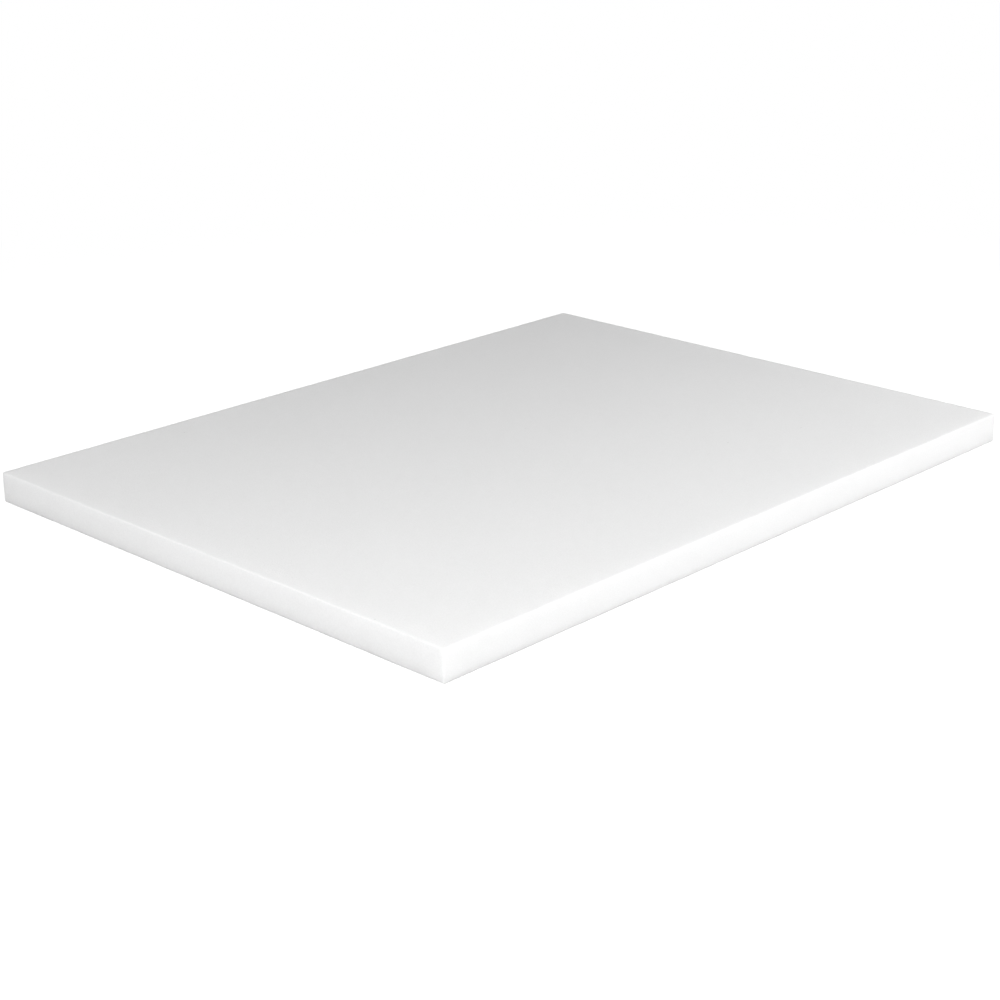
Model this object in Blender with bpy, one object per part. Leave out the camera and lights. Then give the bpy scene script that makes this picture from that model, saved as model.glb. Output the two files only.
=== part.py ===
"""White polyethylene cutting board: one solid slab with square sides and eased edges.

Metres, +Z up. The origin is the middle of the underside, and +X runs along the board's length.
"""

import math

import bmesh
import bpy

# Sizes of the board
LENGTH = 0.508
WIDTH = 0.381
THICKNESS = 0.01905
CORNER_RADIUS = 0.0015
ARRIS_RADIUS = 0.001

# Facets in a quarter turn of a corner and of an eased edge
CORNER_FACETS = 6
ARRIS_FACETS = 6

# Points closer together than this are one point
WELD_DISTANCE = 1e-6

# Finish of the sheet
SHEET_COLOUR = (0.87, 0.87, 0.86, 1.0)
SHEET_ROUGHNESS = 0.45
SHEET_METALLIC = 0.0
SMOOTH_ANGLE = math.radians(30)


def clear_scene():
    """Remove every object that the file opened with."""
    for obj in list(bpy.data.objects):
        bpy.data.objects.remove(obj, do_unlink=True)


def quarter_turn(facets):
    """Angles from 0 to 90 degrees in equal steps."""
    return [math.pi / 2 * step / facets for step in range(facets + 1)]


def plan_outline(inset):
    """Points of the plan outline moved in by inset, anticlockwise from above.

    Each corner is a quarter arc. Its radius shrinks by the inset, and past the arc's centre it is a point.
    """
    radius = max(CORNER_RADIUS - inset, 0.0)
    centre_x = LENGTH / 2 - inset - radius
    centre_y = WIDTH / 2 - inset - radius
    points = []
    for quarter, (side_x, side_y) in enumerate(((1, 1), (-1, 1), (-1, -1), (1, -1))):
        for turn in quarter_turn(CORNER_FACETS):
            angle = turn + quarter * math.pi / 2
            x = side_x * centre_x + radius * math.cos(angle)
            y = side_y * centre_y + radius * math.sin(angle)
            points.append((x, y))
    return points


def edge_profile():
    """Inset and height of each ring: round the lower arris, up the side and over the upper arris."""
    lower = []
    for turn in quarter_turn(ARRIS_FACETS):
        inset = ARRIS_RADIUS * (1 - math.sin(turn))
        height = ARRIS_RADIUS * (1 - math.cos(turn))
        lower.append((inset, height))
    upper = [(inset, THICKNESS - height) for inset, height in reversed(lower)]
    return lower + upper


def board_mesh():
    """The slab, lofted through one outline for each ring of the edge profile and closed by two flat faces."""
    bm = bmesh.new()
    rings = []
    for inset, height in edge_profile():
        rings.append([bm.verts.new((x, y, height)) for x, y in plan_outline(inset)])
    for below, above in zip(rings, rings[1:]):
        for i in range(len(below)):
            bm.faces.new((below[i - 1], below[i], above[i], above[i - 1]))
    underside, work_face = rings[0], rings[-1]
    bm.faces.new(underside[::-1])
    bm.faces.new(work_face)
    bmesh.ops.remove_doubles(bm, verts=bm.verts, dist=WELD_DISTANCE)
    mesh = bpy.data.meshes.new("board")
    bm.to_mesh(mesh)
    bm.free()
    mesh.shade_smooth()
    mesh.set_sharp_from_angle(angle=SMOOTH_ANGLE)
    return mesh


def white_polyethylene():
    """Solid-coloured white sheet with a satin, faintly grained face."""
    material = bpy.data.materials.new("white_polyethylene")
    material.use_nodes = True
    shader = material.node_tree.nodes["Principled BSDF"]
    shader.inputs["Base Color"].default_value = SHEET_COLOUR
    shader.inputs["Roughness"].default_value = SHEET_ROUGHNESS
    shader.inputs["Metallic"].default_value = SHEET_METALLIC
    return material


def main():
    clear_scene()
    mesh = board_mesh()
    mesh.materials.append(white_polyethylene())
    bpy.context.scene.collection.objects.link(bpy.data.objects.new("board", mesh))


main()
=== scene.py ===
"""White polyethylene cutting board, dressed for its picture.

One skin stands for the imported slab. It has pressed faces, planed sides and eased edges, and is worked out
as a profile carried round the board's outline. Metres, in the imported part's own frame.
"""

import math

import bpy
import numpy as np
from mathutils import Matrix, Vector


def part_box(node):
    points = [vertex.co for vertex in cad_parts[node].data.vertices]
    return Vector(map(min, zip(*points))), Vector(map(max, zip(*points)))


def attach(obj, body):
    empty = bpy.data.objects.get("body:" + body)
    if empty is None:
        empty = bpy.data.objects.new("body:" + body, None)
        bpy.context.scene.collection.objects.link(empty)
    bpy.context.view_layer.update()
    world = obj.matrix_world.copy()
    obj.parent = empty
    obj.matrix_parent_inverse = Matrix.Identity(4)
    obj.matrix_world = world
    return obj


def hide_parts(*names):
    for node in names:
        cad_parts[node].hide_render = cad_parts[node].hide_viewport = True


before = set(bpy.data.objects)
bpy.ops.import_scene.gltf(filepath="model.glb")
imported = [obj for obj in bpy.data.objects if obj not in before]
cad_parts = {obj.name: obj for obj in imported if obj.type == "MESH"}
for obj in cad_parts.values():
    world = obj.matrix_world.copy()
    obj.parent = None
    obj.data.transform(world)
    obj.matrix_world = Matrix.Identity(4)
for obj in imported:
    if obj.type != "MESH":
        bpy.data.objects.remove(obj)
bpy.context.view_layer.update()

# The slab, as packed
SLAB_LOW, SLAB_HIGH = (np.array(corner, float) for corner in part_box("board"))
LENGTH, WIDTH, THICKNESS = SLAB_HIGH - SLAB_LOW
CORNER_RADIUS = 0.0015
ARRIS_RADIUS = 0.001

# How finely the skin is divided. A face ring is a share of the way from a face's middle to its edge
COLUMN_SPACING = 0.0008
CORNER_STEPS = 12
ARRIS_STEPS = 8
SIDE_STEPS = 6
FACE_RINGS = np.array((0.3, 0.6, 0.85, 0.97, 0.997))

# Unevenness of the eased edges and planed sides. The wander is a share of the arris radius
CHANCE_SEED = 7
ARRIS_WANDER = 0.10
ARRIS_CYCLES = np.array((9, 14, 23, 37, 61))
SIDE_WAVE_DEPTH = 0.00003
SIDE_WAVE_CYCLES = np.array((11, 26, 43))
KNOCKS_PER_EDGE = 46
KNOCK_HALF_LENGTH = (0.0006, 0.0018)
KNOCK_DEPTH = (0.00002, 0.00013)

# Tone of the sheet, from dull to pale, and the share of each pattern in it. The grain's share is painted
# shade: it colours the low points of the grain darker, towards the dull tone, as if its pits were shaded
DULL_AND_PIT_SHADE_TONE = 0.860
PALE_TONE = 0.922
CLOUD_SIZE = 0.09
CLOUD_SHARE = 0.30
MOTTLE_SIZE = 0.006
MOTTLE_SHARE = 0.25
GRAIN_SIZE = 0.0008
GRAIN_PIT_SHADE_SHARE = 0.45
GRAIN_RISE = (0.35, 0.65)

# Specks in the sheet, and flecks low on its sides
SPECK_TONE = 0.70
SPECK_SPACING = 0.011
SPECK_RADIUS = 0.00035
SPECK_SHARE = 0.12
SPECK_SHARE_BLUR = 0.01
SPECK_STRENGTH = 0.6
FLECK_SIZE = 0.0014
FLECK_HEIGHT = 0.0025
FLECK_RISE = (0.58, 0.70)
FLECK_STRENGTH = 0.5

# Relief: grain on the faces, and a planer's scallops and streaks on the sides
GRAIN_HEIGHT = 0.00006
PLANER_PITCH = 0.0015
PLANER_DEPTH = 0.00003
PLANER_DRIFT_LENGTH = 0.03
PLANER_DRIFT_TURN = 6.0
STREAK_SIZE = 0.0004
STREAK_DEPTH = 0.00001

# Roughness of a face, what mottle adds to it, and what planing and easing take off
FACE_ROUGHNESS = 0.72
MOTTLE_ROUGHNESS = 0.10
PLANED_SMOOTHING = 0.06
EASED_SMOOTHING = 0.06

# How the sheet bends and mirrors light, how far light travels inside it, and the share that goes in
SHEET_IOR = 1.54
GLOSS_LEVEL = 0.35
LIGHT_DEPTH = 0.009
LIGHT_SHARE = 0.7

# The picture: a square image, the lens in its pixels, and the camera's place and turn
IMAGE_SIDE = 1000
FOCAL_PIXELS = 2019.4
SENSOR_WIDTH = 36.0
CAMERA_PLACE = Vector((-0.8767, -0.8290, 0.4234))
CAMERA_YAW = math.radians(46.070)
CAMERA_DIP = math.radians(20.178)
CAMERA_ROLL = math.radians(0.424)

# The floor: how much light it gives back, and how it looks near the board
FLOOR_HALF_SIDE = 6.0
FLOOR_GAP = 0.0002
FLOOR_ALBEDO = 0.6
FLOOR_WHITE_NEAR = 0.9
FLOOR_GLOW_NEAR = 0.58
FLOOR_NEAR_RADIUS = 0.36
FLOOR_FAR_RADIUS = 0.8

# Room light, and each softbox's place, width, height and power
ROOM_LIGHT = 0.232
SOFTBOXES = {
    "long_side_softbox": ((0.15, -0.9, 0.64), 1.6, 0.4, 9.45),
    "end_softbox": ((-1.0, -0.1, 0.5), 0.8, 0.4, 3.2),
    "corner_softbox": ((-1.2, -0.5, 0.7), 0.8, 0.4, 4.9),
    "back_side_softbox": ((0.2, 1.5, 0.12), 1.2, 0.2, 3.0),
    "back_end_softbox": ((1.5, 0.2, 0.12), 1.0, 0.2, 2.2),
    "low_side_softbox": ((0.6, -0.8, 0.06), 0.8, 0.1, 0.32),
}


class Wire:
    """A socket in a node tree. Sums on number sockets add Math nodes."""

    def __init__(self, graph, socket):
        self.graph = graph
        self.socket = socket

    def sum_node(self, operation, first, second):
        return self.graph.node("ShaderNodeMath", "Value", {"operation": operation}, {0: first, 1: second})

    def __add__(self, other):
        return self.sum_node("ADD", self, other)

    def __sub__(self, other):
        return self.sum_node("SUBTRACT", self, other)

    def __rsub__(self, other):
        return self.sum_node("SUBTRACT", other, self)

    def __mul__(self, other):
        return self.sum_node("MULTIPLY", self, other)

    __radd__ = __add__
    __rmul__ = __mul__


class Graph:
    """The node tree of a material or of the world."""

    def __init__(self, owner):
        owner.use_nodes = True
        self.tree = owner.node_tree
        self.tree.nodes.clear()

    @staticmethod
    def pick(sockets, key):
        """The socket with that index, identifier or name."""
        if isinstance(key, int):
            return sockets[key]
        return next(s for s in sockets if key in (s.identifier, s.name))

    def node(self, kind, output, settings=None, inputs=None):
        """A new node with its settings, then its socket values or links. Returns the named output."""
        made = self.tree.nodes.new(kind)
        for name, value in (settings or {}).items():
            setattr(made, name, value)
        for key, value in (inputs or {}).items():
            socket = self.pick(made.inputs, key)
            if isinstance(value, Wire):
                self.tree.links.new(value.socket, socket)
            else:
                socket.default_value = value
        return Wire(self, self.pick(made.outputs, output)) if output else None

    def along(self, vector, direction):
        """How far a vector reaches along a direction: their dot product."""
        return self.node("ShaderNodeVectorMath", "Value", {"operation": "DOT_PRODUCT"},
                         {0: vector, 1: direction})

    def noise(self, place, size, detail=2.0):
        """Smooth noise from 0 to 1 whose blobs are about size across."""
        values = {"Vector": place, "Scale": 1 / size, "Detail": detail}
        return self.node("ShaderNodeTexNoise", "Fac", {}, values)

    def fade(self, value, low, high, start=0.0, end=1.0):
        """A smooth step of value: start below low, end above high."""
        values = {"Value": value, "From Min": low, "From Max": high, "To Min": start, "To Max": end}
        return self.node("ShaderNodeMapRange", "Result", {"interpolation_type": "SMOOTHSTEP"}, values)

    def blend(self, share, first, second):
        """A colour from first to second by share."""
        values = {"Factor_Float": share, "A_Color": first, "B_Color": second}
        return self.node("ShaderNodeMix", "Result_Color", {"data_type": "RGBA"}, values)

    def matt(self, level):
        """A matt grey surface."""
        return self.node("ShaderNodeBsdfDiffuse", "BSDF", {}, {"Color": grey(level)})

    def glow(self, strength):
        """An even white glow."""
        return self.node("ShaderNodeEmission", "Emission", {}, {"Color": grey(1.0), "Strength": strength})


def grey(level):
    """A neutral colour."""
    return (level, level, level, 1.0)


def outline():
    """The plan outline, anticlockwise from above: a quarter arc at each corner, then a straight run.

    Returns points, outward normals, the distance run to each point, and the whole way round.
    """
    turn = np.linspace(0, np.pi / 2, CORNER_STEPS + 1)
    points = []
    normals = []
    for quarter, (side_x, side_y) in enumerate(((1, 1), (-1, 1), (-1, -1), (1, -1))):
        angle = turn + quarter * np.pi / 2
        outward = np.stack((np.cos(angle), np.sin(angle)), axis=1)
        centre = np.array((side_x * (LENGTH / 2 - CORNER_RADIUS), side_y * (WIDTH / 2 - CORNER_RADIUS)))
        arc = centre + CORNER_RADIUS * outward
        straight = (WIDTH if quarter % 2 else LENGTH) - 2 * CORNER_RADIUS
        steps = round(straight / COLUMN_SPACING)
        along = np.array((-outward[-1, 1], outward[-1, 0]))
        run = np.linspace(0, straight, steps + 1)[1:-1, None] * along
        points += [arc, arc[-1] + run]
        normals += [outward, np.broadcast_to(outward[-1], run.shape)]
    points = np.concatenate(points)
    normals = np.concatenate(normals)
    gaps = np.linalg.norm(np.roll(points, -1, axis=0) - points, axis=1)
    distance = np.concatenate(((0.0,), np.cumsum(gaps)))
    return points, normals, distance[:-1], distance[-1]


def wander(share, cycles, chance):
    """A smooth wander of about -1 to 1 round a closed run: sines of whole cycles with chance phases."""
    phase = chance.uniform(0, 2 * np.pi, len(cycles))
    waves = np.sin(2 * np.pi * share[:, None] * cycles + phase)
    return waves.sum(axis=1) / math.sqrt(len(cycles))


def knocks(distance, perimeter, chance):
    """Depth of small knocks along an edge: a bell curve of chance place, length and depth for each."""
    place = chance.uniform(0, perimeter, KNOCKS_PER_EDGE)
    half_length = chance.uniform(*KNOCK_HALF_LENGTH, KNOCKS_PER_EDGE)
    depth = chance.uniform(*KNOCK_DEPTH, KNOCKS_PER_EDGE)
    away = (distance[:, None] - place + perimeter / 2) % perimeter - perimeter / 2
    return (depth * np.exp(-((away / half_length) ** 2))).max(axis=1)


def eased_edge(distance, perimeter, chance):
    """Inset and rise of an arris, for each outline point and step round it.

    A quarter circle whose radius wanders along the edge, pushed in towards its middle by the knocks.
    """
    turn = np.linspace(0, np.pi / 2, ARRIS_STEPS + 1)
    radius = ARRIS_RADIUS * (1 + ARRIS_WANDER * wander(distance / perimeter, ARRIS_CYCLES, chance))
    push = knocks(distance, perimeter, chance)[:, None] * np.sin(2 * turn)
    inset = radius[:, None] * (1 - np.sin(turn)) + push
    rise = radius[:, None] * (1 - np.cos(turn)) + push
    return inset, rise


def skin_grid(chance):
    """The skin's points as a grid: the outline by a profile from the underside's middle to the top's.

    On a face the profile is rings of the outline drawn in towards the middle. Between the faces it goes
    round the lower arris, up the side and round the upper arris. Each point is the outline point moved in
    by the profile's inset and set at its height. The sides wave by a few hundredths of a millimetre.
    """
    plan, normals, distance, perimeter = outline()
    wave = SIDE_WAVE_DEPTH * (1 + np.clip(wander(distance / perimeter, SIDE_WAVE_CYCLES, chance), -1, 1))
    plan = plan - wave[:, None] * normals
    lower_inset, lower_rise = eased_edge(distance, perimeter, chance)
    upper_inset, upper_rise = eased_edge(distance, perimeter, chance)
    top_height = THICKNESS - upper_rise[:, ::-1]
    climb = np.linspace(0, 1, SIDE_STEPS + 1)[1:-1]
    side_height = lower_rise[:, -1:] + (top_height[:, :1] - lower_rise[:, -1:]) * climb

    rings = np.ones((len(plan), len(FACE_RINGS)))
    inset = np.hstack((rings * lower_inset[:, :1], lower_inset, 0 * side_height,
                       upper_inset[:, ::-1], rings * upper_inset[:, :1]))
    height = np.hstack((0 * rings, lower_rise, side_height, top_height, THICKNESS * rings))
    rim_rows = 2 * (ARRIS_STEPS + 1) + SIDE_STEPS - 1
    reach = np.concatenate((FACE_RINGS, np.ones(rim_rows), FACE_RINGS[::-1]))
    flat = (plan[:, None, :] - inset[:, :, None] * normals[:, None, :]) * reach[:, None]
    return np.concatenate((flat, height[:, :, None]), axis=2) + (0, 0, SLAB_LOW[2])


def skin_faces(columns, rows):
    """Outward faces of the grid: quads between neighbouring columns, and a fan from each pole."""
    here = np.arange(columns * rows).reshape(columns, rows)
    beside = np.roll(here, -1, axis=0)
    low_pole = np.full(columns, columns * rows)
    high_pole = low_pole + 1
    quads = np.stack((here[:, :-1], beside[:, :-1], beside[:, 1:], here[:, 1:]), axis=2).reshape(-1, 4)
    low_fan = np.stack((low_pole, beside[:, 0], here[:, 0]), axis=1)
    high_fan = np.stack((here[:, -1], beside[:, -1], high_pole), axis=1)
    return quads.tolist() + low_fan.tolist() + high_fan.tolist()


def finish_shares(columns):
    """How far each point is planed, and how far eased, from 0 to 1.

    Planing grows evenly round an arris from the face to the side. Easing is half a sine wave round each
    arris. The two poles come last, with neither.
    """
    turn = np.linspace(0, 1, ARRIS_STEPS + 1)
    bend = np.sin(np.pi * turn)
    face_rows = np.zeros(len(FACE_RINGS))
    side_rows = np.ones(SIDE_STEPS - 1)
    planed = np.concatenate((face_rows, turn, side_rows, turn[::-1], face_rows))
    eased = np.concatenate((face_rows, bend, 0 * side_rows, bend, face_rows))
    profiles = {"planed": planed, "eased": eased}
    return {name: np.append(np.tile(profile, columns), (0, 0)) for name, profile in profiles.items()}


def board_skin():
    """The whole skin: the grid, closed by a pole in the middle of each face.

    Returns points, faces and the shares of finish.
    """
    grid = skin_grid(np.random.default_rng(CHANCE_SEED))
    columns, rows = grid.shape[:2]
    poles = np.array(((0, 0, SLAB_LOW[2]), (0, 0, SLAB_HIGH[2])))
    points = np.concatenate((grid.reshape(-1, 3), poles))
    return points, skin_faces(columns, rows), finish_shares(columns)


def specks(graph, place):
    """1 on a few tiny specks: the middles of some cells of a Voronoi pattern, picked by chance."""
    cells = {"Vector": place, "Scale": 1 / SPECK_SPACING}
    middle = graph.node("ShaderNodeTexVoronoi", "Distance", {}, cells)
    colour = graph.node("ShaderNodeTexVoronoi", "Color", {}, cells)
    chance = graph.along(colour, (1.0, 0.0, 0.0))
    reach = SPECK_RADIUS / SPECK_SPACING
    spot = graph.fade(middle, reach, 2 * reach, 1.0, 0.0)
    picked = graph.fade(chance, SPECK_SHARE, SPECK_SHARE + SPECK_SHARE_BLUR, 1.0, 0.0)
    return spot * picked


def flecks(graph, place):
    """Strength of dull flecks close to the lower edge: the peaks of a noise, fading out with height."""
    height = graph.along(place, (0.0, 0.0, 1.0))
    peaks = graph.fade(graph.noise(place, FLECK_SIZE), *FLECK_RISE)
    return peaks * graph.fade(height, 0.0, FLECK_HEIGHT, FLECK_STRENGTH, 0.0)


def planer_marks(graph, place):
    """Height of the marks that a planer leaves on the sides: even scallops along the edge, and streaks.

    A scallop is a sine of the distance along the edge, without its sign. A slow noise makes it drift.
    """
    along = graph.along(place, (1.0, 1.0, 0.0))
    run = graph.node("ShaderNodeCombineXYZ", "Vector", {}, {"X": along})
    drift = graph.noise(run, PLANER_DRIFT_LENGTH, detail=1.0)
    turn = along * (math.pi / PLANER_PITCH) + drift * PLANER_DRIFT_TURN
    wave = graph.node("ShaderNodeMath", "Value", {"operation": "SINE"}, {0: turn})
    scallop = graph.node("ShaderNodeMath", "Value", {"operation": "ABSOLUTE"}, {0: wave})
    return scallop * PLANER_DEPTH + graph.noise(run, STREAK_SIZE) * STREAK_DEPTH


def white_polyethylene():
    """Pressed white sheet: fine matte pressed texture on the faces with painted shade darkening its pits,
    planer marks on the sides, smoother edges.

    Light goes some millimetres into the sheet, so its edges glow.
    """
    material = bpy.data.materials.new("white_polyethylene")
    graph = Graph(material)
    place = graph.node("ShaderNodeTexCoord", "Object")
    planed = graph.node("ShaderNodeAttribute", "Fac", {"attribute_name": "planed"})
    eased = graph.node("ShaderNodeAttribute", "Fac", {"attribute_name": "eased"})

    cloud = graph.noise(place, CLOUD_SIZE)
    mottle = graph.noise(place, MOTTLE_SIZE, detail=3.0)
    # One grain pattern gives the faces' bump and, through its share in the tone, painted shade in its pits
    grain_and_pit_shade = graph.fade(graph.noise(place, GRAIN_SIZE), *GRAIN_RISE)
    # Cloud and mottle are the sheet's own random tone; the grain's share is painted shade, darker where the
    # grain's relief is low
    tone_with_pit_shade = cloud * CLOUD_SHARE + mottle * MOTTLE_SHARE + grain_and_pit_shade * GRAIN_PIT_SHADE_SHARE
    clean = graph.blend(tone_with_pit_shade, grey(DULL_AND_PIT_SHADE_TONE), grey(PALE_TONE))
    flecked = graph.blend(flecks(graph, place) * planed, clean, grey(SPECK_TONE))
    colour = graph.blend(specks(graph, place) * SPECK_STRENGTH, flecked, grey(SPECK_TONE))

    smoothing = planed * PLANED_SMOOTHING + eased * EASED_SMOOTHING
    roughness = FACE_ROUGHNESS + mottle * MOTTLE_ROUGHNESS - smoothing

    relief = grain_and_pit_shade * GRAIN_HEIGHT * (1 - planed) + planer_marks(graph, place) * planed
    normal = graph.node("ShaderNodeBump", "Normal", {},
                        {"Strength": 1.0, "Distance": 1.0, "Height": relief})

    shader = graph.node("ShaderNodeBsdfPrincipled", "BSDF", {}, {
        "Base Color": colour,
        "Roughness": roughness,
        "Normal": normal,
        "IOR": SHEET_IOR,
        "Specular IOR Level": GLOSS_LEVEL,
        "Subsurface Weight": LIGHT_SHARE,
        "Subsurface Radius": (1.0, 1.0, 1.0),
        "Subsurface Scale": LIGHT_DEPTH,
    })
    graph.node("ShaderNodeOutputMaterial", None, {}, {"Surface": shader})
    return material


def make_board():
    """The skin as an object that rides on the part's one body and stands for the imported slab."""
    points, faces, shares = board_skin()
    mesh = bpy.data.meshes.new("board_skin")
    mesh.from_pydata(points, [], faces)
    for name, values in shares.items():
        mesh.attributes.new(name, "FLOAT", "POINT").data.foreach_set("value", values.astype(np.float32))
    mesh.shade_smooth()
    mesh.materials.append(white_polyethylene())
    board = bpy.data.objects.new("board_skin", mesh)
    bpy.context.scene.collection.objects.link(board)
    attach(board, "root")
    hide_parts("board")


def seen_directly(graph):
    """1 for rays from the camera and for what gloss or glass shows, otherwise 0."""
    seen = None
    for kind in ("Is Camera Ray", "Is Glossy Ray", "Is Transmission Ray"):
        ray = graph.node("ShaderNodeLightPath", kind)
        seen = ray if seen is None else seen + ray
    return graph.fade(seen, 0.0, 1.0)


def pale_floor():
    """Matt floor that looks white in the picture and still takes the board's shadow.

    Near the board it is a white matt surface lifted by a glow, and further off plain white. Light that
    reaches the board from the floor comes from a plain pale surface.
    """
    material = bpy.data.materials.new("pale_floor")
    graph = Graph(material)
    place = graph.node("ShaderNodeTexCoord", "Object")
    away = graph.node("ShaderNodeVectorMath", "Value", {"operation": "LENGTH"}, {0: place})
    far = graph.fade(away, FLOOR_NEAR_RADIUS, FLOOR_FAR_RADIUS)
    shaded = graph.matt(FLOOR_WHITE_NEAR)
    near = graph.node("ShaderNodeAddShader", "Shader", {}, {0: shaded, 1: graph.glow(FLOOR_GLOW_NEAR)})
    looks = graph.node("ShaderNodeMixShader", "Shader", {}, {0: far, 1: near, 2: graph.glow(1.0)})
    lights = graph.matt(FLOOR_ALBEDO)
    seen = seen_directly(graph)
    surface = graph.node("ShaderNodeMixShader", "Shader", {}, {0: seen, 1: lights, 2: looks})
    graph.node("ShaderNodeOutputMaterial", None, {}, {"Surface": surface})
    return material


def make_floor():
    """A wide level sheet just under the board."""
    side = FLOOR_HALF_SIDE
    corners = [(-side, -side), (side, -side), (side, side), (-side, side)]
    mesh = bpy.data.meshes.new("floor")
    mesh.from_pydata([(x, y, SLAB_LOW[2] - FLOOR_GAP) for x, y in corners], [], [(0, 1, 2, 3)])
    mesh.materials.append(pale_floor())
    floor = bpy.data.objects.new("floor", mesh)
    bpy.context.scene.collection.objects.link(floor)


def make_world():
    """Even room light, with white behind everything."""
    world = bpy.data.worlds.new("studio")
    graph = Graph(world)
    strength = ROOM_LIGHT + seen_directly(graph) * (1 - ROOM_LIGHT)
    values = {"Color": grey(1.0), "Strength": strength}
    light = graph.node("ShaderNodeBackground", "Background", {}, values)
    graph.node("ShaderNodeOutputWorld", None, {}, {"Surface": light})
    bpy.context.scene.world = world


def make_softboxes():
    """Broad area lamps that all face the middle of the board."""
    for name, (place, wide, high, power) in SOFTBOXES.items():
        lamp = bpy.data.lights.new(name, "AREA")
        lamp.shape = "RECTANGLE"
        lamp.size = wide
        lamp.size_y = high
        lamp.energy = power
        softbox = bpy.data.objects.new(name, lamp)
        softbox.visible_camera = False
        softbox.location = place
        softbox.rotation_euler = (-Vector(place)).to_track_quat("-Z", "Y").to_euler()
        bpy.context.scene.collection.objects.link(softbox)


def make_camera():
    """The photograph's viewpoint: yaw from +Y towards +X, dip below level, then a slight roll."""
    camera = bpy.data.cameras.new("camera")
    camera.sensor_width = SENSOR_WIDTH
    camera.lens = FOCAL_PIXELS / IMAGE_SIDE * SENSOR_WIDTH
    turn = Matrix.Rotation(-CAMERA_YAW, 4, "Z") @ Matrix.Rotation(math.pi / 2 - CAMERA_DIP, 4, "X")
    holder = bpy.data.objects.new("camera", camera)
    holder.matrix_world = Matrix.Translation(CAMERA_PLACE) @ turn @ Matrix.Rotation(-CAMERA_ROLL, 4, "Z")
    bpy.context.scene.collection.objects.link(holder)
    bpy.context.scene.camera = holder


make_board()
make_floor()
make_world()
make_softboxes()
make_camera()
bpy.context.scene.view_settings.view_transform = "Standard"
